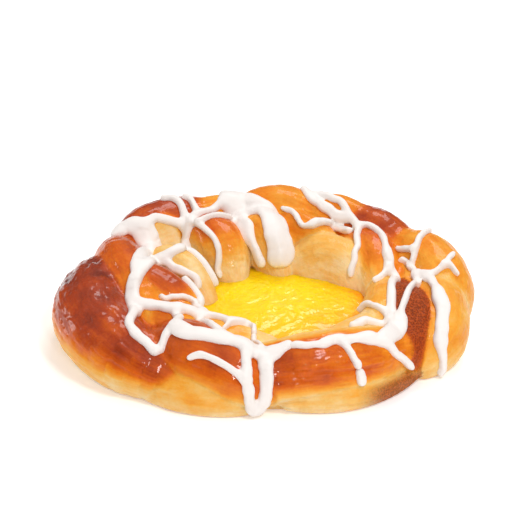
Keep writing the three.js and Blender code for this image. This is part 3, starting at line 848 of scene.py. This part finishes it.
# %% Material: crust, the browned colour
crust, tree, shader = new_material("baked_crust")
coords = tree.nodes.new("ShaderNodeTexCoord").outputs["Object"]
along_grain = tree.nodes.new("ShaderNodeMapping")
along_grain.inputs["Scale"].default_value = (0.40, 1.0, 1.0)
tree.links.new(read_attribute(tree, "grain", "Vector"), along_grain.inputs["Vector"])
streaks = place_group(tree, mottle, Position=along_grain.outputs[0], Large=0.40, Small=1.5, Strength=0.20)
blotches = place_group(tree, mottle, Position=coords, Large=190.0, Small=1100.0, Strength=0.18)
bake_value = math_node(tree, "ADD", read_attribute(tree, "bake"), streaks)
bake_value = math_node(tree, "ADD", bake_value, blotches, clamp=True)
crust_color = ramp_node(tree, bake_value, [
    (0.00, (0.87, 0.64, 0.33)),
    (0.12, (0.85, 0.50, 0.14)),
    (0.24, (0.85, 0.37, 0.040)),
    (0.38, (0.80, 0.235, 0.008)),
    (0.56, (0.64, 0.105, 0.001)),
    (0.74, (0.38, 0.040, 0.001)),
    (0.95, (0.13, 0.012, 0.003)),
])
print("crust colour from", len(tree.nodes), "nodes")

# %% Material: crust, the spice over it
spiced = read_attribute(tree, "spice")
grains = place_group(tree, speckle, Position=coords, Scale=2000.0, Amount=0.72)
spice_color = mix_color(tree, grains, (0.46, 0.075, 0.011), (0.07, 0.009, 0.003))
crust_color = mix_color(tree, spiced, crust_color, spice_color)
tree.links.new(crust_color, shader.inputs["Base Color"])
print("spice mixed into", crust.name)

# %% Material: crust, the shine of the egg wash
wash = math_node(tree, "MULTIPLY", bake_value, 0.7)
wash = math_node(tree, "ADD", wash, 0.2, clamp=True)
wash = math_node(tree, "SUBTRACT", wash, math_node(tree, "MULTIPLY", spiced, 0.9), clamp=True)
finish_with(tree, shader, {
    "Roughness": math_node(tree, "SUBTRACT", 0.62, math_node(tree, "MULTIPLY", bake_value, 0.25)),
    "Specular IOR Level": 0.12,
    "Coat Weight": wash,
    "Coat Roughness": 0.06,
    "Coat IOR": 1.34,
    "Subsurface Weight": 0.12,
    "Subsurface Scale": 0.001,
})
shader.inputs["Subsurface Radius"].default_value = (1.0, 0.35, 0.08)
print("coat from the bake value, dry where there is spice")

# %% Material: crust, pores and fine relief
pores = noise_node(tree, coords, 520.0, 5.0).outputs[0]
relief = math_node(tree, "ADD", pores, math_node(tree, "MULTIPLY", streaks, 2.5))
gritty = math_node(tree, "MULTIPLY", grains, math_node(tree, "MULTIPLY", spiced, 0.8))
add_relief(tree, shader, math_node(tree, "SUBTRACT", relief, gritty), 0.5, 0.0008)
dough.data.materials.append(crust)
print("crust material has", len(tree.nodes), "nodes")

# %% [markdown]
# ## Custard gel
# The gel is clear enough for light to travel inside, which is what makes its
# yellow glow, and its skin is wet. Its colour drifts to orange where it is thin,
# near the rim, so the colour follows the distance from the deepest place, which
# lies a little to the back left of the middle.

# %% Material: custard
custard_gel, tree, shader = new_material("custard_gel")
coords = tree.nodes.new("ShaderNodeTexCoord").outputs["Object"]
drift = place_group(tree, mottle, Position=coords, Large=120.0, Small=420.0, Strength=0.8)
from_deepest = tree.nodes.new("ShaderNodeVectorMath")
from_deepest.operation = "DISTANCE"
tree.links.new(coords, from_deepest.inputs[0])
deepest = np.array([POOL_X - 5, POOL_Y + 5, 10]) + SHIFT
from_deepest.inputs[1].default_value = deepest * MM
rim_value = math_node(tree, "DIVIDE", from_deepest.outputs["Value"], 31 * MM)
rim_value = math_node(tree, "ADD", math_node(tree, "POWER", rim_value, 2.1), drift, clamp=True)
gel_color = ramp_node(tree, rim_value, [
    (0.0, (0.98, 0.66, 0.003)),
    (0.45, (0.97, 0.54, 0.001)),
    (1.0, (0.88, 0.23, 0.001)),
])
finish_with(tree, shader, {
    "Base Color": gel_color,
    "Roughness": 0.28,
    "Specular IOR Level": 0.1,
    "Coat Weight": 0.7,
    "Coat Roughness": 0.02,
    "Coat IOR": 1.36,
    "Subsurface Weight": 0.5,
    "Subsurface Scale": 0.002,
})
shader.inputs["Subsurface Radius"].default_value = (1.0, 0.6, 0.05)
wobble = noise_node(tree, coords, 500.0, 3.0, 0.6)
add_relief(tree, shader, wobble.outputs[0], 0.6, 0.0006)
custard.data.materials.append(custard_gel)
print("custard material has", len(tree.nodes), "nodes")

# %% [markdown]
# ## Sugar icing
# Icing is white where it is thick. At its thin edges the crust tints it, so the
# colour follows `thick`, the height of each point over the crust.

# %% Material: icing
sugar, tree, shader = new_material("sugar_icing")
coords = tree.nodes.new("ShaderNodeTexCoord").outputs["Object"]
cloud = place_group(tree, mottle, Position=coords, Large=300.0, Small=1300.0, Strength=0.3)
depth = math_node(tree, "MULTIPLY", read_attribute(tree, "thick"), 6.0)
depth = math_node(tree, "ADD", depth, cloud, clamp=True)
icing_color = ramp_node(tree, depth, [
    (0.00, (0.86, 0.80, 0.76)),
    (0.15, (0.84, 0.88, 0.94)),
    (0.50, (0.82, 0.90, 1.00)),
])
finish_with(tree, shader, {
    "Base Color": icing_color,
    "Roughness": 0.55,
    "Specular IOR Level": 0.3,
    "Coat Weight": 0.08,
    "Coat Roughness": 0.2,
})
sugar_grains = place_group(tree, speckle, Position=coords, Scale=2600.0, Amount=0.5)
add_relief(tree, shader, math_node(tree, "ADD", cloud, sugar_grains), 0.12, 0.0003)
for piece in (left_icing, right_icing, dab_icing):
    piece.data.materials.append(sugar)
print("icing material has", len(tree.nodes), "nodes")

# %% [markdown]
# ## Fixing the pieces to the frame
# Each piece stands in for one CAD node, and all of them belong to the one rigid
# body of the pastry.

# %% Fix the pieces
for piece, node, slot_name in (
    (dough, "dough", "dough"),
    (custard, "custard_filling", "custard"),
    (left_icing, "icing_left_net", "icing"),
    (right_icing, "icing_right_net", "icing"),
    (dab_icing, "icing_dab", "icing"),
):
    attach(piece, "root")
    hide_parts(node)
    print(piece.name, "stands for", node)

# %% [markdown]
# ## A white table and soft light
# The pastry stands on a plain white surface that glows a little, so that it stays
# white in the shadow. The room is bright overhead. A lamp high on the front right
# shapes the ropes, a small one in front draws the small highlights on the glaze,
# a low one on the left and a big soft one behind light the edges.

# %% Table
TABLE = 3           # metres from the middle to each side
floor_mesh = bpy.data.meshes.new("table_top")
corners = [(-TABLE, -TABLE, 0), (TABLE, -TABLE, 0), (TABLE, TABLE, 0), (-TABLE, TABLE, 0)]
floor_mesh.from_pydata(corners, [], [(0, 1, 2, 3)])
floor = bpy.data.objects.new("table_top", floor_mesh)
bpy.context.scene.collection.objects.link(floor)
white, tree, shader = new_material("white_table")
finish_with(tree, shader, {
    "Base Color": (0.93, 0.93, 0.93),
    "Roughness": 0.8,
    "Specular IOR Level": 0.2,
    "Emission Color": (1.0, 1.0, 1.0),
    "Emission Strength": 0.24,
})
floor.data.materials.append(white)
print("table", 2 * TABLE, "m wide")

# %% Bright room
world = bpy.data.worlds.new("bright_room")
bpy.context.scene.world = world
world.use_nodes = True
sky = world.node_tree
direction = sky.nodes.new("ShaderNodeTexCoord")
split = sky.nodes.new("ShaderNodeSeparateXYZ")
sky.links.new(direction.outputs["Generated"], split.inputs[0])
glow = ramp_node(sky, split.outputs["Z"], [
    (0.00, (0.12, 0.12, 0.12)),
    (0.35, (0.22, 0.22, 0.22)),
    (0.90, (1.0, 1.0, 1.0)),
])
sky.links.new(glow, sky.nodes["Background"].inputs["Color"])
sky.nodes["Background"].inputs["Strength"].default_value = 0.74
print("room light", world.name)

# %% Lamps
def soft_lamp(name, place, aim, size, power):
    """A square soft lamp, in metres and watts, turned towards a point."""
    lamp = bpy.data.lights.new(name, "AREA")
    lamp.size = size
    lamp.energy = power
    obj = bpy.data.objects.new(name, lamp)
    obj.location = place
    obj.rotation_euler = (Vector(aim) - Vector(place)).to_track_quat("-Z", "Y").to_euler()
    bpy.context.scene.collection.objects.link(obj)
    print(name, power, "W")


soft_lamp("lamp_key", (0.24, -0.38, 0.62), (0, 0, 0), 0.14, 2.1)
soft_lamp("lamp_front", (0.12, -0.70, 0.40), (0, 0, 0.01), 0.06, 1.1)
soft_lamp("lamp_side", (-0.60, 0.16, 0.16), (0, 0, 0), 0.20, 0.9)
soft_lamp("lamp_back", (0.12, 0.40, 0.58), (0, 0, 0), 0.30, 1.8)
bpy.context.scene.view_settings.view_transform = "Standard"
bpy.context.scene.view_settings.look = "None"

# %% [markdown]
# ## Camera
# The pastry is seen from the front, a little under thirty degrees above the
# table, through a long lens, so that its far side isn't much smaller than its
# near side.

# %% Place the camera
ELEVATION = math.radians(29.4)
DISTANCE = 1.0          # metres
FIELD = 0.1397          # metres that the frame takes in at that distance
AIM_SIDE, AIM_UP = -0.00122, 0.022
back = Vector((0, -math.cos(ELEVATION), math.sin(ELEVATION)))
up = Vector((0, math.sin(ELEVATION), math.cos(ELEVATION)))
ground = Vector((AIM_SIDE + SHIFT[0] * MM, SHIFT[1] * MM, 0))
camera_data = bpy.data.cameras.new("camera")
camera_data.sensor_width = 36
camera_data.lens = 36 * DISTANCE / FIELD
camera = bpy.data.objects.new("camera", camera_data)
camera.location = ground + up * AIM_UP + back * DISTANCE
camera.rotation_euler = (-back).to_track_quat("-Z", "Y").to_euler()
bpy.context.scene.collection.objects.link(camera)
bpy.context.scene.camera = camera
print("camera at", tuple(round(v, 3) for v in camera.location))
